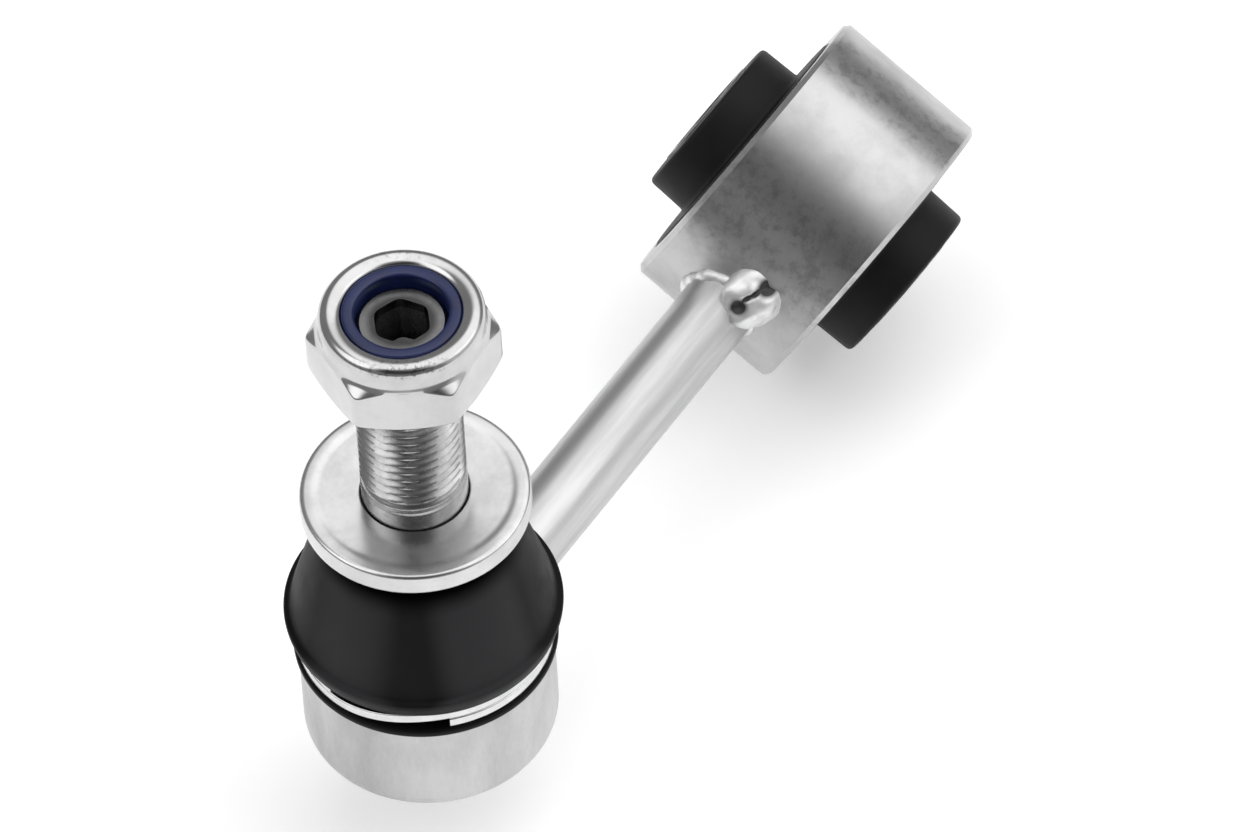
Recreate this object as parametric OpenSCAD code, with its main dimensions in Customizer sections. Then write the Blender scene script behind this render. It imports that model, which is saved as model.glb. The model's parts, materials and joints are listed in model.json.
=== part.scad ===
// Short stabilizer link: a ball joint with a threaded stud at one end, a rubber bush in a welded
// eye at the other, and a straight rod between them.
// Z runs up the stud, X along the rod. The origin is on the stud's axis, on the seat of the washer.

/* [Stud] */
// Outer diameter of the stud's thread
thread_d = 12; // [11:0.25:13]
// Length of thread above the washer
thread_len = 28.6; // [26:0.1:36]
// Chamfer at the stud's end
stud_chamfer = 1.3; // [0.6:0.1:1.6]
// Pitch of the thread, drawn as rings
thread_pitch = 1.25; // [1:0.05:1.75]
// Depth of the thread
thread_depth = 0.6; // [0.3:0.05:0.8]
// Plain length between the washer and the thread
thread_plain = 3.6; // [2:0.1:6]
// Width across flats of the key socket in the stud's end
key_af = 6; // [5:0.5:6]
// Depth of the key socket
key_depth = 6.5; // [4.5:0.5:10]
// Turn of the key socket about the stud
key_turn = 39; // [0:1:59]
// Diameter of the plain shank below the washer
shank_d = 14; // [13.6:0.1:15]
// Length of the plain shank
shank_len = 8; // [6:0.5:9]
// Length of the taper from the shank to the neck
taper_len = 3; // [2:0.5:4]
// Diameter of the neck between the shank and the ball
neck_d = 10; // [8:0.1:10]
// Diameter of the ball
ball_d = 18; // [17:0.1:19]
// Drop from the washer's seat to the ball's centre
ball_drop = 25.1; // [24.5:0.1:30]

/* [Washer] */
// Outer diameter of the seat washer
washer_d = 26; // [22:0.5:30]
// Thickness of the seat washer
washer_t = 3.1; // [2:0.1:4]
// Rounded edge of the seat washer
washer_edge = 1.1; // [0.3:0.1:1.3]

/* [Lock nut] */
// Width across flats of the nut
nut_af = 19; // [18:0.5:22]
// Height of the hexagon
nut_hex_h = 6.7; // [5:0.1:10]
// Height of the round collar above the hexagon
nut_collar_h = 3; // [2.4:0.1:4]
// Diameter of the round collar
nut_collar_d = 18.4; // [17.6:0.1:18.6]
// Rounded top edge of the collar
nut_edge = 1.8; // [0.4:0.1:2]
// Opening that the collar's rolled edge leaves over the nylon
nut_mouth_d = 13.4; // [12.8:0.1:14]
// Thickness of the collar's rolled edge
nut_lip_t = 0.8; // [0.5:0.1:1]
// Depth of the nylon's pocket below the collar
nut_pocket = 0.5; // [0.2:0.1:1.5]
// Wall of the nylon ring in its pocket
nylon_wall = 1.65; // [1.2:0.05:1.9]
// Rise of the nut above the washer, part-way down the thread
nut_rise = 21; // [12:0.1:21.6]
// Turn of the nut about the stud
nut_turn = 4; // [0:1:59]

/* [Dust boot] */
// Largest diameter of the boot
boot_d = 31.6; // [31:0.1:36]
// Diameter of the boot's top, under the washer
boot_top_d = 20.6; // [20.2:0.1:24]
// Fullness of the boot's flank: 1 is straight, less is fuller
boot_full = 1; // [0.7:0.05:1.4]
// Step from the boot's flank out to its rim
boot_rim_w = 0.7; // [0.3:0.1:1.2]
// Wall of the boot
boot_wall = 1.5; // [1:0.1:2]
// Height of the boot's top bead
boot_bead_h = 4.6; // [4:0.1:6]
// Rise from the clamp ring to the top of the boot's rim
bulge_rise = 2.7; // [1.4:0.1:4]
// Diameter of the lip below the clamp ring
lip_d = 30; // [29.6:0.1:32]
// Height of the lip below the clamp ring
lip_h = 1.1; // [0.8:0.1:3]
// Rubber between the clamp ring and the housing's neck
bead_wall = 1; // [0.6:0.1:1.4]

/* [Rings of the boot] */
// Height of the clamp ring
clamp_h = 3; // [2:0.1:3.4]
// Thickness of the clamp ring
clamp_t = 1.35; // [0.8:0.05:1.4]
// Bevel on the two turns of the clamp ring
clamp_bevel = 0.35; // [0.1:0.05:0.45]
// Width of the support ring in the boot's top
collar_ring_w = 1.4; // [1:0.1:1.8]
// Height of the support ring in the boot's top
collar_ring_h = 1.9; // [1.2:0.1:2.6]

/* [Ball housing] */
// Outer diameter of the housing
housing_d = 29; // [28.4:0.1:32]
// Rounded lower edge of the housing
housing_edge = 2.6; // [1:0.1:2.8]
// Wall of the housing's neck
neck_wall = 1.55; // [1.2:0.05:1.8]
// Rolled rim that keeps the ball seat in
rim_t = 0.8; // [0.5:0.1:1.5]
// Inward reach of the rolled rim
rim_reach = 1.8; // [1:0.1:1.9]
// Wall of the plastic ball seat
seat_wall = 1.35; // [1:0.05:1.6]
// Rise of the ball seat above the ball's centre
seat_rise = 4.4; // [3.5:0.1:4.5]
// Drop from the ball's centre to the shoulder under the boot's lip
shoulder_drop = 1; // [0:0.1:2]
// Thickness of the end cap
cap_t = 2.4; // [1.6:0.1:3]
// Ledge in the housing that the end cap sits on
cap_ledge = 0.8; // [0.5:0.1:1]
// Thickness of the housing's edge that is rolled in over the end cap
roll_t = 1.7; // [1:0.1:2]
// Inward reach of the rolled edge over the end cap
roll_reach = 1.6; // [0.8:0.1:2.4]

/* [Rod and eye] */
// Distance from the stud's axis to the eye's axis
link_len = 80.5; // [60:0.5:140]
// Diameter of the rod
rod_d = 8.8; // [7:0.1:9.4]
// Outer diameter of the eye
eye_d = 37.6; // [34:0.2:44]
// Width of the eye
eye_w = 19.6; // [16:0.2:26]
// Wall of the eye
eye_wall = 3.25; // [2.5:0.05:4]
// Turn of the eye about the rod, from square to the stud
eye_turn = 28; // [0:0.2:90]
// Bevel on the eye's edges
eye_bevel = 0.6; // [0.2:0.1:1]
// Radius of the weld bead round the rod
weld_r = 1.3; // [0.9:0.1:2]
// Radius of the lump where the weld at the eye ends
weld_lump_r = 3.2; // [2.6:0.1:4]
// Place of the weld's lump round the rod
weld_lump_turn = 149; // [0:1:359]

/* [Bush] */
// Diameter of the bush's hubs
hub_d = 20.2; // [18:0.2:24]
// Reach of each hub beyond the eye
hub_out = 5.5; // [3:0.1:8]
// Reach of the rubber disc beyond the eye
disc_out = 0.2; // [0.1:0.1:1.5]
// Outer diameter of the steel sleeve
sleeve_d = 13.6; // [13:0.1:16]
// Bore of the steel sleeve, clear of a bolt
sleeve_bore = 10.4; // [8.2:0.1:10.6]
// Reach of the sleeve beyond each hub
sleeve_out = 0.2; // [0.1:0.1:1.5]

/* [Clearances] */
// Gap between rubber and what turns in it
rubber_gap = 0.3; // [0.2:0.05:0.4]
// Gap between pieces that are pressed or welded together
press_gap = 0.05; // [0.02:0.01:0.1]
// Radial gap of pieces that turn or screw in each other
running_gap = 0.05; // [0.02:0.01:0.09]
// Radial gap between the washer's hole and the stud
washer_gap = 0.1; // [0.05:0.05:0.3]

/* [Hidden] */
$fn = 96;
// A cut reaches this far past the face that it opens
over = 1;

thread_r = thread_d / 2;
shank_r = shank_d / 2;
neck_r = neck_d / 2;
ball_r = ball_d / 2;
// Levels of the stud, from the washer's seat down
washer_low = -washer_t;
shank_low = washer_low - shank_len;
neck_top = shank_low - taper_len;
ball_z = -ball_drop;

// The ball seat, and the housing round it
seat_in_r = ball_r + running_gap;
seat_r = seat_in_r + seat_wall;
seat_top = ball_z + seat_rise;
seat_low = ball_z - seat_r;
bore_r = seat_r + press_gap;
housing_neck_r = bore_r + neck_wall;
housing_r = housing_d / 2;
housing_top = seat_top + rim_t;
shoulder_z = ball_z - shoulder_drop;
cap_low = seat_low - cap_t;
cap_r = bore_r + cap_ledge - press_gap;
housing_low = cap_low - press_gap - roll_t;

// The boot, from its lip up
lip_z = shoulder_z + rubber_gap;
bead_in_r = housing_neck_r + rubber_gap;
groove_r = bead_in_r + bead_wall;
clamp_z = lip_z + lip_h;
clamp_top = clamp_z + clamp_h;
clamp_in_r = groove_r + press_gap;
clamp_r = clamp_in_r + clamp_t;
bulge_z = clamp_top + bulge_rise;
boot_r = boot_d / 2;
flank_r = boot_r - boot_rim_w;
boot_top = washer_low - rubber_gap;
boot_top_r = boot_top_d / 2;
boot_hole_r = shank_r + rubber_gap;
collar_ring_r = (boot_top_r + boot_hole_r) / 2;

// The rod's top is level with the housing's shoulder, clear below the boot's lip
rod_r = rod_d / 2;
rod_z = shoulder_z - rod_r;
eye_r = eye_d / 2;
eye_in_r = eye_r - eye_wall;
rubber_r = eye_in_r - press_gap;
hub_r = hub_d / 2;
sleeve_r = sleeve_d / 2;
hub_end = eye_w / 2 + hub_out;
sleeve_end = hub_end + sleeve_out;

// Half outline of the boot: a flank that widens from the top, then a rim over the clamp ring
bell_steps = 8;
rim_round = boot_rim_w / 2;
function bell_r(u, inset) = boot_top_r + (flank_r - boot_top_r) * pow(u, boot_full) - inset;
function bell(inset, from) = [
    for (i = [0 : bell_steps])
        let (u = from + (1 - from) * i / bell_steps)
        [bell_r(u, inset), boot_top + (bulge_z - boot_top) * u]
];
boot_rim = [
    [boot_r - rim_round, bulge_z], [boot_r, bulge_z - rim_round],
    [boot_r, clamp_top + rim_round], [clamp_r + rubber_gap, clamp_top]
];

// Sets a piece of the eye on the eye's axis, with Z along that axis
module at_eye() {
    translate([link_len, 0, rod_z]) rotate([eye_turn - 90, 0, 0]) children();
}

// A solid cylinder on the rod's axis
module along_rod(from, to, r) {
    translate([from, 0, rod_z]) rotate([0, 90, 0]) cylinder(r = r, h = to - from);
}

// A ring of rectangular section with bevelled outer edges
module bevelled_ring(r_in, r_out, low, high, bevel) {
    rotate_extrude() polygon([
        [r_in, low], [r_out - bevel, low], [r_out, low + bevel],
        [r_out, high - bevel], [r_out - bevel, high], [r_in, high]
    ]);
}

// A ring of rectangular section with rounded outer edges
module rounded_ring(r_in, r_out, low, high, edge) {
    rotate_extrude() {
        translate([r_in, low]) square([r_out - edge - r_in, high - low]);
        translate([r_in, low + edge]) square([r_out - r_in, high - low - 2 * edge]);
        for (z = [low + edge, high - edge]) translate([r_out - edge, z]) circle(r = edge);
    }
}

// Rod, housing and eye that a weld bead is cut back from
module joined_steel() {
    along_rod(0, link_len, rod_r + press_gap);
    translate([0, 0, housing_low - over])
        cylinder(r = housing_r + press_gap, h = shoulder_z - housing_low + over);
    at_eye() cylinder(r = eye_r + press_gap, h = eye_w + 2 * over, center = true);
}

// A round bead of weld about the rod
module weld_bead(x, r) {
    translate([x, 0, rod_z]) rotate([0, 90, 0]) rotate_extrude() translate([rod_r, 0]) circle(r = r);
}

module housing() {
    color("silver") rotate_extrude() difference() {
        union() {
            translate([0, housing_low + housing_edge])
                square([housing_r, shoulder_z - housing_low - housing_edge]);
            translate([0, housing_low]) square([housing_r - housing_edge, housing_edge]);
            intersection() {
                translate([housing_r - housing_edge, housing_low + housing_edge]) circle(r = housing_edge);
                translate([housing_r - housing_edge, housing_low]) square(housing_edge);
            }
            translate([0, shoulder_z]) square([housing_neck_r, housing_top - shoulder_z]);
        }
        translate([0, seat_low]) square([bore_r, seat_top - seat_low]);
        translate([0, seat_top - over]) square([bore_r - rim_reach, rim_t + 2 * over]);
        translate([0, cap_low - press_gap]) square([cap_r + press_gap, cap_t + press_gap]);
        translate([0, housing_low - over]) square([cap_r - roll_reach, roll_t + 2 * over]);
    }
}

module end_cap() {
    color("gainsboro") translate([0, 0, cap_low]) cylinder(r = cap_r, h = cap_t);
}

module ball_seat() {
    color("ivory") rotate_extrude() difference() {
        translate([0, seat_low]) square([seat_r, seat_top - seat_low]);
        translate([0, ball_z]) circle(r = seat_in_r);
        translate([-ball_d, seat_low - over]) square([ball_d, ball_d + 4 * over]);
    }
}

module ball_stud() {
    crest = thread_pitch / 10;
    thread_top = thread_len - stud_chamfer - crest;
    turns = floor((thread_top - thread_plain) / thread_pitch);
    color("dimgray") difference() {
        union() {
            translate([0, 0, ball_z]) sphere(r = ball_r);
            rotate_extrude() polygon(concat(
                [[0, ball_z], [neck_r, ball_z], [neck_r, neck_top], [shank_r, shank_low],
                 [shank_r, washer_low], [thread_r, washer_low]],
                [for (i = [turns : -1 : 1])
                    for (step = [[0, crest], [thread_depth, thread_pitch / 2], [0, thread_pitch - crest]])
                    [thread_r - step[0], thread_top - i * thread_pitch + step[1]]],
                [[thread_r, thread_len - stud_chamfer], [thread_r - stud_chamfer, thread_len], [0, thread_len]]
            ));
        }
        translate([0, 0, thread_len - key_depth]) rotate(key_turn)
            cylinder(d = key_af / cos(30), h = key_depth + over, $fn = 6);
    }
}

module seat_washer() {
    hole_r = thread_r + washer_gap;
    color("lightgray") rounded_ring(hole_r, washer_d / 2, washer_low, 0, washer_edge);
}

module dust_boot() {
    bead_low = boot_top - boot_bead_h;
    bead_u = boot_bead_h / (boot_top - bulge_z);
    color([0.06, 0.06, 0.07]) rotate_extrude() difference() {
        polygon(concat(
            [[boot_hole_r, boot_top]],
            bell(0, 0),
            boot_rim,
            [[groove_r, clamp_top], [groove_r, clamp_z], [lip_d / 2, clamp_z], [lip_d / 2, lip_z],
             [bead_in_r, lip_z], [bead_in_r, clamp_top]],
            [[flank_r - boot_wall, bulge_z]],
            [for (i = [bell_steps - 1 : -1 : 0]) bell(boot_wall, bead_u)[i]],
            [[boot_hole_r, bead_low]]
        ));
        translate([collar_ring_r - collar_ring_w / 2 - press_gap, boot_top - collar_ring_h - press_gap])
            square([collar_ring_w + 2 * press_gap, collar_ring_h + press_gap + over]);
    }
}

module boot_clamp_ring() {
    turn_h = clamp_h / 2 - press_gap;
    color("white") for (low = [clamp_z + press_gap, clamp_z + press_gap + turn_h])
        bevelled_ring(clamp_in_r, clamp_r, low, low + turn_h, clamp_bevel);
}

module boot_collar_ring() {
    color("silver") translate([0, 0, boot_top - collar_ring_h]) difference() {
        cylinder(r = collar_ring_r + collar_ring_w / 2, h = collar_ring_h);
        translate([0, 0, -over])
            cylinder(r = collar_ring_r - collar_ring_w / 2, h = collar_ring_h + 2 * over);
    }
}

// Levels inside the nut, measured from its lower face
nut_collar_r = nut_collar_d / 2;
pocket_r = thread_r + running_gap + nylon_wall;
pocket_low = nut_hex_h - nut_pocket;
pocket_top = nut_hex_h + nut_collar_h - nut_lip_t;

module lock_nut() {
    corner_r = nut_af / 2 / cos(30);
    slope = (corner_r - nut_af / 2) * tan(30);
    color("whitesmoke") translate([0, 0, nut_rise]) rotate(nut_turn) difference() {
        union() {
            intersection() {
                cylinder(r = corner_r, h = nut_hex_h, $fn = 6);
                rotate_extrude() polygon([
                    [0, 0], [nut_af / 2, 0], [corner_r + over, slope + over * tan(30)],
                    [corner_r + over, nut_hex_h - slope - over * tan(30)],
                    [nut_af / 2, nut_hex_h], [0, nut_hex_h]
                ]);
            }
            rotate_extrude() difference() {
                union() {
                    translate([0, nut_hex_h - over]) square([nut_collar_r, nut_collar_h + over - nut_edge]);
                    translate([0, nut_hex_h]) square([nut_collar_r - nut_edge, nut_collar_h]);
                    translate([nut_collar_r - nut_edge, nut_hex_h + nut_collar_h - nut_edge])
                        circle(r = nut_edge);
                }
                translate([-nut_collar_d, 0]) square([nut_collar_d, 2 * nut_hex_h + nut_collar_h]);
            }
        }
        translate([0, 0, -over]) cylinder(r = thread_r + running_gap, h = nut_hex_h + over);
        translate([0, 0, pocket_low]) cylinder(r = pocket_r, h = pocket_top - pocket_low);
        translate([0, 0, pocket_low]) cylinder(d = nut_mouth_d, h = nut_hex_h + nut_collar_h);
    }
}

module nylon_insert() {
    color("midnightblue") translate([0, 0, nut_rise]) rotate_extrude() difference() {
        union() {
            translate([0, pocket_low + press_gap])
                square([pocket_r - press_gap, pocket_top - pocket_low - 2 * press_gap]);
            translate([0, pocket_low + press_gap])
                square([nut_mouth_d / 2 - press_gap, nut_hex_h + nut_collar_h - pocket_low - 2 * press_gap]);
        }
        square([thread_r + running_gap, nut_hex_h + nut_collar_h]);
    }
}

module link_rod() {
    color("lightgray") difference() {
        along_rod(0, link_len, rod_r);
        translate([0, 0, cap_low]) cylinder(r = housing_r + press_gap, h = housing_top - cap_low);
        at_eye() cylinder(r = eye_r + press_gap, h = eye_w, center = true);
    }
}

module bush_eye() {
    color("gray") at_eye() bevelled_ring(eye_in_r, eye_r, -eye_w / 2, eye_w / 2, eye_bevel);
}

module eye_weld() {
    weld_x = link_len - eye_r;
    color("darkgray") difference() {
        union() {
            weld_bead(weld_x, weld_r);
            translate([weld_x, 0, rod_z]) rotate([weld_lump_turn, 0, 0]) translate([0, rod_r, 0])
                sphere(r = weld_lump_r);
        }
        joined_steel();
    }
}

module housing_weld() {
    color("darkgray") difference() {
        weld_bead(housing_r, weld_r);
        joined_steel();
        translate([0, 0, shoulder_z]) cylinder(r = link_len / 2, h = weld_r + over);
    }
}

module bush_rubber() {
    half = eye_w / 2 + disc_out;
    round_edge = disc_out / 2;
    bore = sleeve_r + running_gap;
    color([0.08, 0.08, 0.08]) at_eye() rotate_extrude() polygon([
        [bore, -hub_end], [hub_r - round_edge, -hub_end], [hub_r, -hub_end + round_edge],
        [hub_r, -half], [rubber_r - round_edge, -half], [rubber_r, -half + round_edge],
        [rubber_r, half - round_edge], [rubber_r - round_edge, half], [hub_r, half],
        [hub_r, hub_end - round_edge], [hub_r - round_edge, hub_end], [bore, hub_end]
    ]);
}

module bush_sleeve() {
    color("silver") at_eye() difference() {
        cylinder(r = sleeve_r, h = 2 * sleeve_end, center = true);
        cylinder(d = sleeve_bore, h = 2 * sleeve_end + over, center = true);
    }
}

housing();
end_cap();
ball_seat();
ball_stud();
seat_washer();
dust_boot();
boot_clamp_ring();
boot_collar_ring();
lock_nut();
nylon_insert();
link_rod();
bush_eye();
eye_weld();
housing_weld();
bush_rubber();
bush_sleeve();
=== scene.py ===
import json
import math

import bmesh
import bpy
from mathutils import Matrix, Vector, noise


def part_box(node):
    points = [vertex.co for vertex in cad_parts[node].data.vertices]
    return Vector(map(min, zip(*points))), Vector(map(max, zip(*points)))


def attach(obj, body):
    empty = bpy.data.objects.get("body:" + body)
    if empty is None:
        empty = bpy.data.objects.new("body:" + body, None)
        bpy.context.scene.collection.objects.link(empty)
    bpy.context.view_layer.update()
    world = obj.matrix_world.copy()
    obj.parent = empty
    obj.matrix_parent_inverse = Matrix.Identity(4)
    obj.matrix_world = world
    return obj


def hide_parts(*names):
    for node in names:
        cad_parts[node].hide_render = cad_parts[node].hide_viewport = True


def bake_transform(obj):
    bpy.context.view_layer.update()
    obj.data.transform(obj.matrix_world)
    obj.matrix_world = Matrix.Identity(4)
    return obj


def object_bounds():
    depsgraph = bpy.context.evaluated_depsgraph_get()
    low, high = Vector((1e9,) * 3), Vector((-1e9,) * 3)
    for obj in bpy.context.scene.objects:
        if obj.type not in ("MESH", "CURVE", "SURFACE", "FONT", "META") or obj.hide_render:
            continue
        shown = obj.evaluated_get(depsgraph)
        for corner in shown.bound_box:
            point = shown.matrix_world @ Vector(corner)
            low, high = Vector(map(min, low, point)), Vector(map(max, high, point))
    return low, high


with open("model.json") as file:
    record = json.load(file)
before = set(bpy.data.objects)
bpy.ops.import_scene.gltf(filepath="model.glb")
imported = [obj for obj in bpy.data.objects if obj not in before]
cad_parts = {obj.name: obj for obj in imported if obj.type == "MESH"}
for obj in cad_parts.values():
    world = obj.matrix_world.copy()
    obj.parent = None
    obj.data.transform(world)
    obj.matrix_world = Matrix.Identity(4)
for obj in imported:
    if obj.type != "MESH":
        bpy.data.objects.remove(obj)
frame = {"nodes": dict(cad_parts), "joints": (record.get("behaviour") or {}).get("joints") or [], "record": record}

cad_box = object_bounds()
MM = 0.001
TURN = 2 * math.pi
SIDES = 144
UP = Vector((0, 0, 1))

# Places and sizes read from the frame
record = frame["record"]
joints = {joint["name"]: joint for joint in frame["joints"]}
mounts = {mount["name"]: mount for mount in record["mounts"]}


def low(node):
    """Lowest level of a CAD node."""
    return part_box(node)[0][2]


def high(node):
    """Highest level of a CAD node."""
    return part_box(node)[1][2]


def radius(node):
    """Radius of a CAD node that is round about the stud."""
    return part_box(node)[1][0]


thread_r = mounts["stud_thread"]["dims"]["r_mm"] * MM
stud_end = high("ball_stud")
ball_z = joints["stud_lean"]["pos_m"][2]
ball_r = ball_z - low("ball_stud")
washer_low = low("seat_washer")
washer_top = high("seat_washer")
nut_low = low("lock_nut")
nut_top = high("lock_nut")
eye_centre = Vector(joints["bush_twist"]["pos_m"])
eye_axis = Vector(joints["bush_twist"]["axis"]).normalized()
sleeve_half = mounts["bush_bore"]["dims"]["length_mm"] * MM / 2
rod_z = eye_centre.z
rod_r = (high("link_rod") - low("link_rod")) / 2
eye_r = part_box("bush_eye")[1][0] - eye_centre.x

# Sizes of detail that the frame doesn't give
PITCH = 1.25 * MM
THREAD_DEPTH = 0.7 * MM
KEY_AF = 6 * MM
KEY_DEPTH = 6.5 * MM
KEY_TURN = math.radians(39)
KEY_SHARPNESS = 11
NUT_AF = 19 * MM
NUT_HEX_H = 6.7 * MM
NUT_TURN = math.radians(4)
NUT_SHARPNESS = 45
NYLON_DEPTH = 3.0 * MM
SLEEVE_R = 6.8 * MM
SLEEVE_OUT = 0.2 * MM
DISC_OUT = 0.2 * MM
EYE_HALF = 9.8 * MM
BOOT_RIM_H = 2.7 * MM
WELD_BEAD = 0.85 * MM
WELD_UNEVEN = 0.5
WELD_RIPPLE = 0.04
WELD_RIPPLES = 17
# The bead's thin stretch: share of its size, first and last angle about the rod
WELD_THIN = 0.45
WELD_THIN_FROM = math.radians(165)
WELD_THIN_TO = math.radians(330)
# The weld's lump: its place from the eye's centre, the way it faces, its long way and its half sizes
LUMP_CENTRE = eye_centre + Vector((-18.2, -4.4, 3.6)) * MM
LUMP_FACE = Vector((-0.58, -0.47, 0.66)).normalized()
LUMP_LONG = Vector((0.805, -0.509, 0.31))
LUMP_HALF = (4.1 * MM, 3.4 * MM, 2.5 * MM)
# How uneven the lump is: share of its size, and how many waves
LUMP_UNEVEN = [(0.12, 1.3), (0.05, 3)]
# Each burn in millimetres: place along and across the lump, size along and across, depth
LUMP_BURNS = [
    (1.9, 0.2, 1.15, 1.0, 0.9), (0.4, 0.4, 0.8, 0.32, 0.5),
    (-0.8, 0.5, 0.7, 0.28, 0.4), (-2.2, 0.1, 0.9, 0.9, 0.8),
]

# Tones of the finishes, and of painted shade, painted sheen and a painted dark reflection
GRAIN_SHARE = 0.12
# Grey of dark staining, and of painted shade and painted dark reflection on the stud and the eye
STAIN_AND_SHADE_GREY = 0.05
# Near black of the painted shade under the washer
PAINTED_SHADE_BLACK = 0.001
# Pale colour of the painted sheen on the boot
PAINTED_SHEEN_COLOUR = (0.028, 0.028, 0.030)
# Each worn place of the nut's collar: direction, share of wear
COLLAR_WEAR = [((-0.82, -0.57, 0), 1), ((0.82, 0.57, 0), 0.6)]
# Where the painted sheen lies on the boot: square to its flank, left and right of its front
PAINTED_SHEEN_WAYS = [(-0.935, 0.045, 0.292), (-0.397, -0.888, 0.292)]
# Each band of stain and painted dark reflection: direction from the eye's axis, cosine of its edge and of its
# core, least and most share
EYE_STAIN_AND_REFLECTION_BANDS = [
    ((-0.77, -0.29, 0.57), 0.88, 0.99, 0, 0.30),
    ((0.36, -0.437, 0.823), 0.955, 0.992, 0.30, 0.52),
]


# Outlines and meshes
def rounded(corners, steps=5):
    """An outline with each corner (r, z, radius) rounded off by a curve."""
    points = []
    count = len(corners)
    for i, (r, z, size) in enumerate(corners):
        here = Vector((r, z))
        before = Vector(corners[i - 1][:2]) - here
        after = Vector(corners[(i + 1) % count][:2]) - here
        reach = min(size, 0.48 * before.length, 0.48 * after.length)
        if reach <= 0:
            points.append((r, z))
            continue
        start = here + before.normalized() * reach
        end = here + after.normalized() * reach
        for k in range(steps + 1):
            t = k / steps
            point = start * (1 - t) ** 2 + here * 2 * t * (1 - t) + end * t ** 2
            points.append((point.x, point.y))
    return points


def finish_mesh(name, mesh, sharp=32):
    """Cleans a mesh, shades it smooth with its hard edges kept, and puts it in the scene."""
    work = bmesh.new()
    work.from_mesh(mesh)
    bmesh.ops.remove_doubles(work, verts=work.verts, dist=1e-7)
    bmesh.ops.dissolve_degenerate(work, edges=work.edges, dist=1e-8)
    bmesh.ops.recalc_face_normals(work, faces=work.faces)
    work.to_mesh(mesh)
    work.free()
    mesh.shade_smooth()
    mesh.set_sharp_from_angle(angle=math.radians(sharp))
    piece = bpy.data.objects.new(name, mesh)
    bpy.context.scene.collection.objects.link(piece)
    return piece


def revolve(name, profile, sides=SIDES, closed=True, sharp=32):
    """Turns a profile about Z. profile(angle) gives the (r, z) points at that angle."""
    columns = [profile(TURN * j / sides) for j in range(sides)]
    rows = len(columns[0])
    verts = [
        (r * math.cos(TURN * j / sides), r * math.sin(TURN * j / sides), z)
        for j, column in enumerate(columns) for r, z in column
    ]
    faces = []
    for j in range(sides):
        this, other = j * rows, (j + 1) % sides * rows
        for i in range(rows if closed else rows - 1):
            k = (i + 1) % rows
            faces.append((this + i, other + i, other + k, this + k))
    mesh = bpy.data.meshes.new(name)
    mesh.from_pydata(verts, [], faces)
    return finish_mesh(name, mesh, sharp)


def lathe(name, corners, steps=5):
    """Turns one rounded outline about Z."""
    outline = rounded(corners, steps)
    return revolve(name, lambda angle: outline)


def to_eye(piece):
    """Moves a piece made about Z onto the eye's axis."""
    across = Vector((1, 0, 0))
    basis = Matrix((across, eye_axis.cross(across), eye_axis)).transposed().to_4x4()
    piece.data.transform(Matrix.Translation(eye_centre) @ basis)


def hexagon(angle, flats, sharpness):
    """Radius of a hexagon at an angle, its corners a little rounded."""
    total = sum(max(0, math.cos(angle - TURN * k / 6 - TURN / 12)) ** sharpness for k in range(6))
    return flats / 2 / total ** (1 / sharpness)


def dress(piece, body, slot, material, *nodes):
    """Gives a piece its body, its material and the nodes that it stands for. The slot is not used."""
    piece.data.materials.clear()
    piece.data.materials.append(material)
    if body:
        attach(piece, body)
    if nodes:
        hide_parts(*nodes)


# Materials
def node_adder(tree):
    """A function that adds a node to a tree, with its inputs linked or set."""
    def add(kind, inputs=(), **settings):
        node = tree.nodes.new(kind)
        for key, value in settings.items():
            setattr(node, key, value)
        for key, value in dict(inputs).items():
            if isinstance(value, bpy.types.NodeSocket):
                tree.links.new(value, node.inputs[key])
            else:
                node.inputs[key].default_value = value
        return node

    return add


def new_material(name):
    """A material, its shader, a function that adds a node to it and one that links two."""
    material = bpy.data.materials.new(name)
    material.use_nodes = True
    tree = material.node_tree
    return material, tree.nodes["Principled BSDF"], node_adder(tree), tree.links.new


def combine(add, operation, first, second):
    """Two numbers put together by a math node, such as ADD, MULTIPLY or MAXIMUM."""
    return add("ShaderNodeMath", {0: first, 1: second}, operation=operation).outputs[0]


def blend_colour(add, share, first, second):
    """The first colour, with a share of a second grey or colour."""
    grey = (second,) * 3 if isinstance(second, (int, float)) else second
    return add("ShaderNodeMix", {0: share, 6: first, 7: (*grey, 1)}, data_type="RGBA").outputs[2]


def stretched(add, scale):
    """Object coordinates scaled along each axis."""
    place = add("ShaderNodeTexCoord")
    return add("ShaderNodeMapping", {"Vector": place.outputs["Object"], "Scale": scale}).outputs["Vector"]


def spots(add, vector, scale, detail=4, rough=0.55):
    """Cloudy noise from 0 to 1."""
    inputs = {"Vector": vector, "Scale": scale, "Detail": detail, "Roughness": rough}
    return add("ShaderNodeTexNoise", inputs).outputs["Fac"]


def ramp(add, factor, stops):
    """A colour ramp with stops of (place, grey or colour)."""
    node = add("ShaderNodeValToRGB", {"Fac": factor})
    band = node.color_ramp
    while len(band.elements) < len(stops):
        band.elements.new(1)
    for element, (place, value) in zip(band.elements, stops):
        element.position = place
        grey = (value, value, value) if isinstance(value, (int, float)) else value
        element.color = (*grey, 1)
    return node.outputs["Color"]


def remap(add, factor, low_out, high_out, low_in=0.3, high_in=0.7):
    """A number moved from one range to another."""
    inputs = {"Value": factor, "From Min": low_in, "From Max": high_in,
              "To Min": low_out, "To Max": high_out}
    return add("ShaderNodeMapRange", inputs).outputs["Result"]


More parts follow.
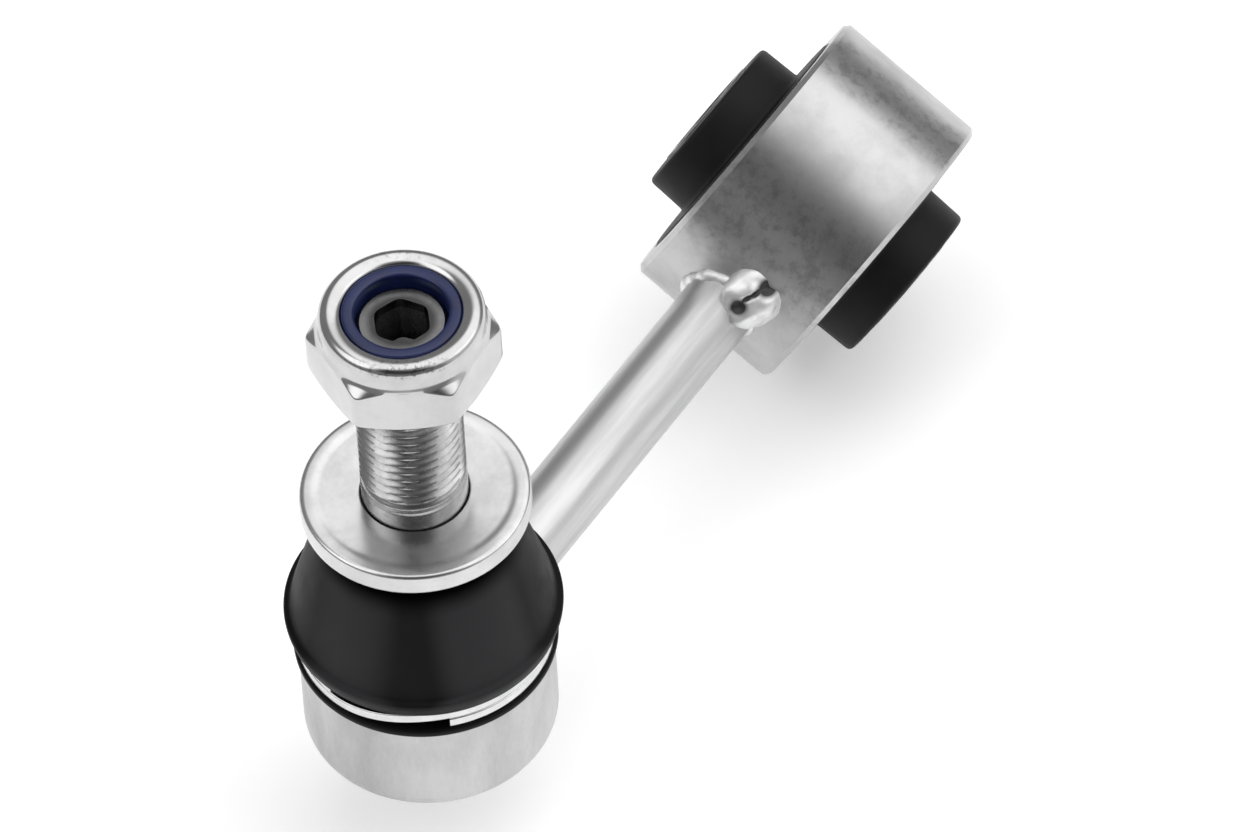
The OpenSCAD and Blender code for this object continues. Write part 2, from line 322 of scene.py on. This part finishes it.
def zinc(name, dark, bright, rough, patch=160, grain=2600, stretch=(1, 1, 1), bump=0.06, stain_and_shade=None):
    """Zinc-plated steel: cloudy patches of grey, a fine grain and a slightly uneven gloss.
    The last argument is a function that gives the share of dark staining from the shader's add function; on the
    eye it also holds a painted dark reflection, and on the stud painted shade inside the key socket."""
    material, shader, add, link = new_material(name)
    place = stretched(add, stretch)
    patches = spots(add, place, patch, 6, 0.62)
    specks = spots(add, place, grain, 3, 0.6)
    level = combine(add, "ADD", patches, combine(add, "MULTIPLY", specks, GRAIN_SHARE))
    colour = ramp(add, level, [(0.42, dark), (0.66, bright)])
    # Dark staining, and on the eye and the stud a painted dark reflection and painted shade, mixed into the colour
    if stain_and_shade:
        colour = blend_colour(add, stain_and_shade(add), colour, STAIN_AND_SHADE_GREY)
    link(colour, shader.inputs["Base Color"])
    link(remap(add, patches, rough[1], rough[0]), shader.inputs["Roughness"])
    relief = add("ShaderNodeBump", {"Height": specks, "Strength": bump, "Distance": 0.02 * MM})
    link(relief.outputs["Normal"], shader.inputs["Normal"])
    shader.inputs["Metallic"].default_value = 1
    return material


def nearness(add, axis, start, end):
    """0 to 1 as a point moves along an axis of the part, from start to end."""
    place = add("ShaderNodeTexCoord").outputs["Object"]
    dot = add("ShaderNodeVectorMath", {0: place, 1: axis}, operation="DOT_PRODUCT").outputs["Value"]
    inputs = {"Value": dot, "From Min": start, "From Max": end}
    return add("ShaderNodeMapRange", inputs, interpolation_type="SMOOTHSTEP").outputs["Result"]


def pit_stain(add):
    """Burnt pits, from the weld's own attribute."""
    darkest = 0.97
    edge, core = 0.12, 0.5
    burn = add("ShaderNodeAttribute", attribute_name="pit").outputs["Fac"]
    return remap(add, burn, 0, darkest, edge, core)


def eye_stain_and_dark_reflection(add):
    """Cloudy dark plating and a painted dark reflection, in two bands across the eye: towards the stud, and above
    its far end.
    """
    cloud_scale = 640
    thin, thick = 0.47, 0.62
    clouds = spots(add, stretched(add, (1, 1, 1)), cloud_scale, 6, 0.68)
    shares = []
    for side, edge, core, least, most in EYE_STAIN_AND_REFLECTION_BANDS:
        side = Vector(side)
        reach = eye_centre.dot(side)
        band = nearness(add, side, reach + edge * eye_r, reach + core * eye_r)
        shares.append(combine(add, "MULTIPLY", band, remap(add, clouds, least, most, thin, thick)))
    return combine(add, "MAXIMUM", *shares)


def nut_stain(add):
    """Small dark marks of wear on the collar, at its front and back."""
    mark_scale = 1500
    darkest = 0.75
    thin, thick = 0.50, 0.66
    edge, core = 6.2 * MM, 8.6 * MM
    fade_low, fade_high = nut_top - 1.2 * MM, nut_top - 0.9 * MM
    clouds = spots(add, stretched(add, (1, 1, 1)), mark_scale, 5, 0.7)
    marks = remap(add, clouds, 0, darkest, thin, thick)
    ends = [
        combine(add, "MULTIPLY", nearness(add, Vector(way), edge, core), share)
        for way, share in COLLAR_WEAR
    ]
    worn = combine(add, "MAXIMUM", *ends)
    above = nearness(add, UP, fade_low, fade_high)
    return combine(add, "MULTIPLY", combine(add, "MULTIPLY", marks, worn), above)


def stud_dulling_and_socket_shade(add):
    """A dull end, duller round the key socket, and painted shade inside the socket."""
    end_dull, ring_dull, socket_shade_darkest = 0.6, 0.35, 0.62
    end_low, end_high = stud_end - 1.5 * MM, stud_end - 1.2 * MM
    ring_inner, ring_outer = 3.4 * MM, 4.2 * MM
    socket_inner, socket_outer = 3.45 * MM, 3.5 * MM
    mouth, deep = stud_end - 0.1 * MM, stud_end - 0.6 * MM
    end = nearness(add, UP, end_low, end_high)
    place = stretched(add, (1, 1, 0))
    length = add("ShaderNodeVectorMath", {0: place}, operation="LENGTH").outputs["Value"]
    ring = remap(add, length, ring_dull, 0, ring_inner, ring_outer)
    # Painted shade inside the key socket, below its mouth
    inside = remap(add, length, socket_shade_darkest, 0, socket_inner, socket_outer)
    below = nearness(add, -UP, -mouth, -deep)
    dull = combine(add, "MULTIPLY", end, combine(add, "ADD", ring, end_dull))
    socket = combine(add, "MULTIPLY", inside, below)
    return combine(add, "MAXIMUM", dull, socket)


def rubber(name, dark, pale, rough, patch=300, grain=4200, bump=0.12, gloss=0.3, shade=None, painted_sheen=None):
    """Moulded rubber: near black, dusty in patches, with a fine grain.
    shade is a function that gives the share of painted shade, which takes the gloss and dust away, and the other
    function gives the share of painted sheen, a pale colour on the skin."""
    material, shader, add, link = new_material(name)
    place = stretched(add, (1, 1, 1))
    patches = spots(add, place, patch, 5, 0.6)
    specks = spots(add, place, grain, 2, 0.5)
    colour = ramp(add, patches, [(0.3, dark), (0.75, pale)])
    shader.inputs["Specular IOR Level"].default_value = gloss
    # Painted sheen: pale lobes mixed into the boot's colour
    if painted_sheen:
        colour = blend_colour(add, painted_sheen(add), colour, PAINTED_SHEEN_COLOUR)
    # Painted shade under the washer: darker colour and less gloss
    if shade:
        painted_shade_share = shade(add)
        colour = blend_colour(add, painted_shade_share, colour, PAINTED_SHADE_BLACK)
        link(remap(add, painted_shade_share, gloss, 0, 0, 1), shader.inputs["Specular IOR Level"])
    link(colour, shader.inputs["Base Color"])
    link(remap(add, patches, rough[0], rough[1]), shader.inputs["Roughness"])
    relief = add("ShaderNodeBump", {"Height": specks, "Strength": bump, "Distance": 0.03 * MM})
    link(relief.outputs["Normal"], shader.inputs["Normal"])
    return material


def boot_painted_shade(add):
    """Painted shade close under the washer: the boot darkened there and its gloss taken away."""
    fade_low, fade_high = washer_low - 5.6 * MM, washer_low - 2.2 * MM
    return nearness(add, UP, fade_low, fade_high)


def boot_painted_sheen(add):
    """Painted sheen: faint pale lobes on two sides of the boot's flank."""
    edge, core = 7.4 * MM, 8.8 * MM
    sides = [nearness(add, Vector(way), edge, core) for way in PAINTED_SHEEN_WAYS]
    return combine(add, "MAXIMUM", *sides)


def plastic(name, dark, pale, rough):
    """Moulded plastic with a slight cloud in its colour and gloss."""
    material, shader, add, link = new_material(name)
    place = stretched(add, (1, 1, 1))
    patches = spots(add, place, 420, 4, 0.5)
    link(ramp(add, patches, [(0.3, dark), (0.7, pale)]), shader.inputs["Base Color"])
    link(remap(add, patches, rough[0], rough[1]), shader.inputs["Roughness"])
    relief = add("ShaderNodeBump", {"Height": patches, "Strength": 0.05, "Distance": 0.05 * MM})
    link(relief.outputs["Normal"], shader.inputs["Normal"])
    return material


zinc_housing = zinc("zinc_housing", 0.40, 0.55, (0.30, 0.38), patch=90, stretch=(1, 1, 0.35))
zinc_washer = zinc("zinc_washer", 0.56, 0.66, (0.20, 0.28), patch=120)
zinc_rod = zinc("zinc_rod", 0.50, 0.62, (0.34, 0.46), patch=420, stretch=(0.06, 1, 1))
# The eye's staining also holds a painted dark reflection
zinc_eye = zinc("zinc_eye", 0.44, 0.54, (0.30, 0.40), patch=110, stain_and_shade=eye_stain_and_dark_reflection)
nut_zinc = zinc("nut_zinc", 0.50, 0.57, (0.12, 0.20), patch=160, stain_and_shade=nut_stain)
# The stud's staining also holds painted shade inside its key socket
stud_steel = zinc("stud_steel", 0.32, 0.46, (0.22, 0.34), patch=300, stain_and_shade=stud_dulling_and_socket_shade)
ring_steel = zinc("ring_steel", 0.62, 0.72, (0.16, 0.24), patch=300)
sleeve_steel = zinc("sleeve_steel", 0.22, 0.32, (0.40, 0.50), patch=300)
weld_steel = zinc("weld_steel", 0.72, 0.88, (0.46, 0.60), patch=420, bump=0.2, stain_and_shade=pit_stain)
# The boot's colour holds painted shade under the washer and a painted sheen on its flank
boot_rubber = rubber(
    "boot_rubber", 0.003, 0.007, (0.44, 0.56), gloss=0.1, shade=boot_painted_shade, painted_sheen=boot_painted_sheen)
hub_rubber = rubber("bush_rubber", 0.004, 0.008, (0.50, 0.62), gloss=0.22)
nylon_blue = plastic("nylon_blue", (0.005, 0.010, 0.055), (0.010, 0.020, 0.100), (0.28, 0.40))
seat_plastic = plastic("seat_plastic", (0.74, 0.72, 0.66), (0.84, 0.82, 0.76), (0.40, 0.52))


# The stud, with its thread and key socket
def make_stud():
    shank_r = 7 * MM
    shank_low = washer_low - 8 * MM
    neck_r = 5 * MM
    neck_top = shank_low - 3 * MM
    chamfer = 1.3 * MM
    end_r = thread_r - chamfer
    plain_top = washer_top + 2.2 * MM
    fade = 2.5 * MM
    step = PITCH / 10
    flank_slope = 2.6
    root_flat = 0.16
    ball_join = math.asin(math.sqrt(1 - (neck_r / ball_r) ** 2))
    ball = [-TURN / 4 + (ball_join + TURN / 4) * i / 28 for i in range(29)]
    below = [(ball_r * math.cos(a), ball_z + ball_r * math.sin(a)) for a in ball]
    below += rounded([
        (neck_r, below[-1][1], 0), (neck_r, neck_top, MM),
        (shank_r, shank_low, MM), (shank_r, washer_low, 0),
    ])
    thread_rows = int((stud_end - washer_low) / step)

    def thread(angle, z):
        phase = (z / PITCH - angle / TURN) % 1
        crest = min(1, max(0, flank_slope * abs(phase - 0.5) - root_flat))
        depth = THREAD_DEPTH * min(1, max(0, (z - plain_top) / fade))
        return min(thread_r - depth * (1 - crest), end_r + stud_end - z)

    def profile(angle):
        points = list(below)
        points.append((thread_r, washer_low))
        for i in range(1, thread_rows):
            z = washer_low + (stud_end - washer_low) * i / thread_rows
            points.append((thread(angle, z), z))
        mouth = hexagon(angle - KEY_TURN, KEY_AF, KEY_SHARPNESS)
        points.append((end_r, stud_end))
        points.append((mouth, stud_end))
        points.append((mouth, stud_end - KEY_DEPTH))
        points.append((0, stud_end - KEY_DEPTH - MM))
        return points

    piece = revolve("stud", profile, 120, closed=False, sharp=40)
    dress(piece, "stud", "stud_steel", stud_steel, "ball_stud")


# The washer, the nut and its nylon ring
def make_washer():
    hole = thread_r + 0.1 * MM
    rim = radius("seat_washer")
    step = 0.08 * MM
    piece = lathe("washer", [
        (hole, washer_low, 0.2 * MM), (rim, washer_low, 0.9 * MM), (rim, washer_top, 1.3 * MM),
        (rim - 1.5 * MM, washer_top, 0.3 * MM), (rim - 2.1 * MM, washer_top - step, 0.3 * MM),
        (hole, washer_top - step, 0.25 * MM)], steps=8)
    dress(piece, "stud", "zinc_washer", zinc_washer, "seat_washer")


def make_nut():
    bore = thread_r + 0.05 * MM
    collar_r = 9.3 * MM
    foot_r = 9.0 * MM
    brow_r = 8.9 * MM
    mouth = 6.7 * MM
    crest_r = 8.1 * MM
    crest_drop = 0.75 * MM
    shoulder = 1.2 * MM
    arc = [TURN / 4 * i / 12 for i in range(13)]
    outer = [
        (crest_r + (collar_r - crest_r) * math.cos(a), nut_top - shoulder * (1 - math.sin(a)))
        for a in arc
    ]
    inner = [
        (crest_r - (crest_r - mouth) * math.sin(a), nut_top - crest_drop * (1 - math.cos(a)))
        for a in arc
    ]
    pocket_low = nut_top - NYLON_DEPTH - 0.05 * MM
    pocket = [(mouth, pocket_low), (bore, pocket_low)]
    slope = math.tan(math.radians(30))
    hex_top = nut_low + NUT_HEX_H

    def profile(angle):
        corner = hexagon(angle - NUT_TURN, NUT_AF, NUT_SHARPNESS)
        return rounded([
            (bore, nut_low + 0.7 * MM, 0), (bore + 0.6 * MM, nut_low, 0.1 * MM),
            (foot_r, nut_low, 0.15 * MM),
            (corner, nut_low + (corner - foot_r) * slope, 0.25 * MM),
            (corner, hex_top - (corner - brow_r) * slope, 0.25 * MM),
            (collar_r + 0.3 * MM, hex_top - 0.15 * MM, 0.3 * MM),
            (collar_r, hex_top + 0.45 * MM, 0.3 * MM), (*outer[0], 0),
        ], 5) + outer[1:] + inner[1:] + pocket

    dress(revolve("nut", profile, 180), "nut", "nut_zinc", nut_zinc, "lock_nut")


def make_nylon():
    top = nut_top - 0.35 * MM
    inner = 5.25 * MM
    outer = 6.66 * MM
    foot = nut_top - NYLON_DEPTH
    piece = lathe("nylon_ring", [
        (inner, foot, 0.2 * MM), (outer, foot, 0.2 * MM),
        (outer, top, 0.35 * MM), (inner, top, 0.45 * MM)])
    dress(piece, "nut_insert", "nylon_blue", nylon_blue, "nylon_insert")


# The rubber boot and its clamp ring
def make_boot():
    top = high("dust_boot")
    foot = low("dust_boot")
    widest = radius("dust_boot") - 0.02 * MM
    clamp_low = low("boot_clamp_ring")
    clamp_top = high("boot_clamp_ring")
    clamp_r = radius("boot_clamp_ring")
    top_r = 10.3 * MM
    hole = 7.3 * MM
    groove = clamp_r - 1.4 * MM
    lip = 15 * MM
    neck = 12.3 * MM
    wall = 1.5 * MM
    bead_h = 4.6 * MM
    rim_top = clamp_top + BOOT_RIM_H
    flank_r = widest - 0.7 * MM
    steps = 36

    def flank(u, inset):
        fullness = 0.15 * MM * math.sin(TURN / 2 * u)
        return (top_r + (flank_r - top_r) * u + fullness - inset, top + (rim_top - top) * u)

    outside = [flank(i / steps, 0) for i in range(steps - 1)]
    rim = rounded([
        (*flank(1 - 2 / steps, 0), 0), (*flank(1, 0), 0.9 * MM),
        (widest, rim_top - 0.15 * MM, 0.35 * MM), (widest, rim_top - 0.9 * MM, 0.4 * MM),
        (widest - 0.35 * MM, clamp_top + 0.6 * MM, 0.2 * MM), (clamp_r + 0.3 * MM, clamp_top, 0.2 * MM),
    ], 5)
    lower = rounded([
        (groove, clamp_top, 0), (groove, clamp_low, 0), (lip, clamp_low, 0.4 * MM),
        (lip, foot, 0.6 * MM), (neck, foot, 0.2 * MM), (neck, clamp_top, 0.3 * MM),
    ])
    inside = [flank(1 - 0.7 * i / steps, wall) for i in range(steps + 1)]
    outline = [(hole, top)] + outside + rim + lower + inside + [(hole, top - bead_h)]
    piece = revolve("boot", lambda angle: outline)
    dress(piece, None, "boot_rubber", boot_rubber, "dust_boot")
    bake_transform(piece)


def make_clamp_ring():
    """A flat wire wound nearly twice round, that climbs to its upper turn in front."""
    outer = radius("boot_clamp_ring")
    bottom = low("boot_clamp_ring")
    layer = (high("boot_clamp_ring") - bottom) / 2
    thick = 1.3 * MM
    wire = layer - 0.04 * MM
    start = math.radians(-136)
    gap = math.radians(57) / TURN
    turns = 2 - gap
    count = 320
    section = rounded([
        (0, 0, 0.1 * MM), (thick, 0, 0.3 * MM), (thick, wire, 0.3 * MM), (0, wire, 0.1 * MM),
    ], 4)
    size = len(section)
    verts = []
    for i in range(count + 1):
        turned = turns * i / count
        angle = start + TURN * turned
        climb = min(1, max(0, (turned - 1 + gap) / gap))
        climb = climb * climb * (3 - 2 * climb)
        for r, z in section:
            here = outer - thick + r
            verts.append((here * math.cos(angle), here * math.sin(angle), bottom + layer * climb + z))
    faces = [
        (i * size + k, i * size + (k + 1) % size, (i + 1) * size + (k + 1) % size, (i + 1) * size + k)
        for i in range(count) for k in range(size)
    ]
    faces.append(tuple(range(size)))
    faces.append(tuple(count * size + k for k in reversed(range(size))))
    mesh = bpy.data.meshes.new("clamp_ring")
    mesh.from_pydata(verts, [], faces)
    dress(finish_mesh("clamp_ring", mesh), "boot", "ring_steel", ring_steel, "boot_clamp_ring")


# The eye's bush
def make_bush():
    box_half = sleeve_half - SLEEVE_OUT
    half = EYE_HALF + DISC_OUT
    hub_r = 10.1 * MM
    disc_r = eye_r - 3.3 * MM
    bore = SLEEVE_R + 0.05 * MM
    half_outline = [
        (bore, box_half, 0.3 * MM), (hub_r, box_half, 0.7 * MM),
        (hub_r + 0.15 * MM, half, 0.6 * MM), (disc_r, half, 0.8 * MM),
    ]
    mirrored = [(r, -z, size) for r, z, size in reversed(half_outline)]
    piece = lathe("bush", half_outline + mirrored)
    to_eye(piece)
    dress(piece, "link", "bush_rubber", hub_rubber, "bush_rubber")


# The weld between the rod and the eye
def rod_on_eye(angle, reach):
    """Point at an angle about the rod, on the eye's skin, at a distance from the rod's axis."""
    across = Vector((0, reach * math.cos(angle), reach * math.sin(angle)))
    along = across.dot(eye_axis)
    depth = math.sqrt(eye_r ** 2 - across.length_squared + along ** 2)
    return Vector((eye_centre.x - depth, across.y, rod_z + across.z))


def weld_bead(verts, faces, pits):
    """A rippled bead round the rod's end."""
    around = 160
    sides = 14
    back_off = Vector((-1, 0, 0))
    first = len(verts)
    for i in range(around):
        angle = TURN * i / around
        centre = rod_on_eye(angle, rod_r)
        outward = Vector((0, math.cos(angle), math.sin(angle)))
        lumpy = WELD_UNEVEN * noise.noise(Vector((3 * math.cos(angle), 3 * math.sin(angle), 1.7)))
        ripple = WELD_RIPPLE * math.cos(WELD_RIPPLES * angle)
        thin = WELD_THIN if WELD_THIN_FROM < angle < WELD_THIN_TO else 1
        size = WELD_BEAD * thin * (1 + lumpy + ripple)
        for k in range(sides):
            turn = TURN * k / sides
            verts.append(centre + size * (outward * math.cos(turn) + back_off * math.sin(turn)))
            pits.append(0)
    for i in range(around):
        for k in range(sides):
            this, other = first + i * sides, first + (i + 1) % around * sides
            faces.append((this + k, other + k, other + (k + 1) % sides, this + (k + 1) % sides))


def weld_lump(verts, faces, pits):
    """A blob of weld beside the rod, with burnt pits in it."""
    rows = 48
    sides = 96
    long = (LUMP_LONG - LUMP_FACE * LUMP_LONG.dot(LUMP_FACE)).normalized()
    wide = LUMP_FACE.cross(long)
    first = len(verts)
    for i in range(rows + 1):
        tilt = TURN / 2 * i / rows
        for j in range(sides):
            turn = TURN * j / sides
            round_way = (math.sin(tilt) * math.cos(turn), math.sin(tilt) * math.sin(turn))
            way = Vector((*round_way, math.cos(tilt)))
            lumpy = 1 + sum(share * noise.noise(way * waves) for share, waves in LUMP_UNEVEN)
            x, y, z = (way[k] * LUMP_HALF[k] * lumpy for k in range(3))
            burn = 0
            for u, v, du, dv, depth in LUMP_BURNS if way.z > 0 else ():
                share = math.exp(-((x / MM - u) / du) ** 2 - ((y / MM - v) / dv) ** 2)
                z -= depth * MM * share
                burn = max(burn, share)
            verts.append(LUMP_CENTRE + long * x + wide * y + LUMP_FACE * z)
            pits.append(burn)
    for i in range(rows):
        for j in range(sides):
            this, other = first + i * sides, first + (i + 1) * sides
            faces.append((this + j, other + j, other + (j + 1) % sides, this + (j + 1) % sides))


def make_eye_weld():
    verts, faces, pits = [], [], []
    weld_bead(verts, faces, pits)
    weld_lump(verts, faces, pits)
    mesh = bpy.data.meshes.new("eye_bead")
    mesh.from_pydata(verts, [], faces)
    mesh.attributes.new("pit", "FLOAT", "POINT").data.foreach_set("value", pits)
    dress(finish_mesh("eye_bead", mesh, 60), "link", "weld_steel", weld_steel, "eye_weld")


make_stud()
make_washer()
make_nut()
make_nylon()
make_boot()
make_clamp_ring()
make_bush()
make_eye_weld()

# CAD nodes that keep their own shape
for node, material in {
    "housing": zinc_housing, "end_cap": zinc_housing, "ball_seat": seat_plastic,
    "boot_collar_ring": ring_steel, "link_rod": zinc_rod, "bush_eye": zinc_eye,
    "housing_weld": weld_steel, "bush_sleeve": sleeve_steel,
}.items():
    shape = frame["nodes"][node]
    shape.data.materials.clear()
    shape.data.materials.append(material)


# Camera, at the photograph's angle
VIEW_AZIMUTH = math.radians(-54.87)
VIEW_ELEVATION = math.radians(49.73)
VIEW_ROLL = math.radians(-3.36)
VIEW_DISTANCE = 1.5
VIEW_LENS = 388.8
AIM = Vector((17.81, -16.46, 4.32)) * MM

back = Vector((
    math.sin(VIEW_AZIMUTH) * math.cos(VIEW_ELEVATION),
    -math.cos(VIEW_AZIMUTH) * math.cos(VIEW_ELEVATION),
    math.sin(VIEW_ELEVATION)))
camera = bpy.data.objects.new("camera", bpy.data.cameras.new("camera"))
bpy.context.scene.collection.objects.link(camera)
camera.data.sensor_fit = "HORIZONTAL"
camera.data.sensor_width = 36
camera.data.lens = VIEW_LENS
camera.data.clip_end = 20
level = UP.cross(back).normalized()
right = Matrix.Rotation(VIEW_ROLL, 3, back) @ level
camera.matrix_world = Matrix.Translation(AIM + back * VIEW_DISTANCE) @ Matrix(
    (right, back.cross(right), back)).transposed().to_4x4()
bpy.context.scene.camera = camera


# Floor, light and background
FLOOR_HALF = 6
FLOOR_GAP = 0.5 * MM
FLOOR_LIFT = 0.3
SKY_DARK = 0.27
# Each soft light: direction, cosine of its edge and of its core, brightness
SKY_LIGHTS = [
    ((0.30, -0.22, 0.93), 0.67, 0.81, 1.28),
    ((-0.50, 0.42, 0.755), 0.90, 0.96, 1.5),
    ((0.45, -0.85, 0.28), 0.80, 0.93, 0.5),
]
# The shade round the camera: direction, cosine of its edge and of its core, share of light lost
CAMERA_SHADE = ((-0.53, -0.37, 0.76), 0.83, 0.95, 0.8)
# Each lamp: name, place, power, size
LAMPS = [
    ("key", (0.5, -0.5, 1.2), 1.5, (0.9, 0.9)),
    ("fill", (-0.9, 0.1, 0.7), 0.9, (0.8, 0.6)),
]


def make_floor():
    bottom = cad_box[0][2] - FLOOR_GAP
    corners = [(-1, -1), (1, -1), (1, 1), (-1, 1)]
    verts = [(x * FLOOR_HALF, y * FLOOR_HALF, bottom) for x, y in corners]
    mesh = bpy.data.meshes.new("floor")
    mesh.from_pydata(verts, [], [(0, 1, 2, 3)])
    floor = bpy.data.objects.new("floor", mesh)
    bpy.context.scene.collection.objects.link(floor)
    material, shader, add, link = new_material("floor_white")
    place = stretched(add, (1, 1, 1))
    link(ramp(add, spots(add, place, 30), [(0, 0.93), (1, 0.95)]), shader.inputs["Base Color"])
    shader.inputs["Roughness"].default_value = 0.9
    # The floor looks white to the camera and in reflections, and keeps the shadow
    path = add("ShaderNodeLightPath").outputs
    seen = combine(add, "MAXIMUM", path["Is Camera Ray"], path["Is Glossy Ray"])
    seen = combine(add, "MAXIMUM", seen, path["Is Transmission Ray"])
    link(combine(add, "MULTIPLY", seen, FLOOR_LIFT), shader.inputs["Emission Strength"])
    shader.inputs["Emission Color"].default_value = (1, 1, 1, 1)
    mesh.materials.append(material)


def make_lamp(name, place, power, size):
    lamp = bpy.data.objects.new(name, bpy.data.lights.new(name, "AREA"))
    bpy.context.scene.collection.objects.link(lamp)
    lamp.data.energy = power
    lamp.data.shape = "RECTANGLE"
    lamp.data.size, lamp.data.size_y = size
    # Metal mirrors the room, not the lamps
    lamp.visible_glossy = False
    lamp.location = place
    lamp.rotation_euler = (AIM - Vector(place)).to_track_quat("-Z", "Y").to_euler()


def make_world():
    """A grey room with three soft lights, darker round the camera."""
    world = bpy.data.worlds.new("studio")
    bpy.context.scene.world = world
    world.use_nodes = True
    shader = world.node_tree.nodes["Background"]
    add = node_adder(world.node_tree)
    place = add("ShaderNodeTexCoord").outputs["Generated"]

    def cap(direction, edge, core, share):
        """A share of light near a direction, that fades away from it."""
        inputs = {0: place, 1: Vector(direction).normalized()}
        dot = add("ShaderNodeVectorMath", inputs, operation="DOT_PRODUCT").outputs["Value"]
        inputs = {"Value": dot, "From Min": edge, "From Max": core}
        near = add("ShaderNodeMapRange", inputs, interpolation_type="SMOOTHSTEP").outputs["Result"]
        return combine(add, "MULTIPLY", near, share)

    room = SKY_DARK
    for light in SKY_LIGHTS:
        room = combine(add, "ADD", cap(*light), room)
    keep = combine(add, "SUBTRACT", 1.0, cap(*CAMERA_SHADE))
    world.node_tree.links.new(combine(add, "MULTIPLY", room, keep), shader.inputs["Strength"])
    shader.inputs["Color"].default_value = (1, 1, 1, 1)


make_floor()
make_world()
for lamp in LAMPS:
    make_lamp(*lamp)
bpy.context.scene.view_settings.view_transform = "Standard"
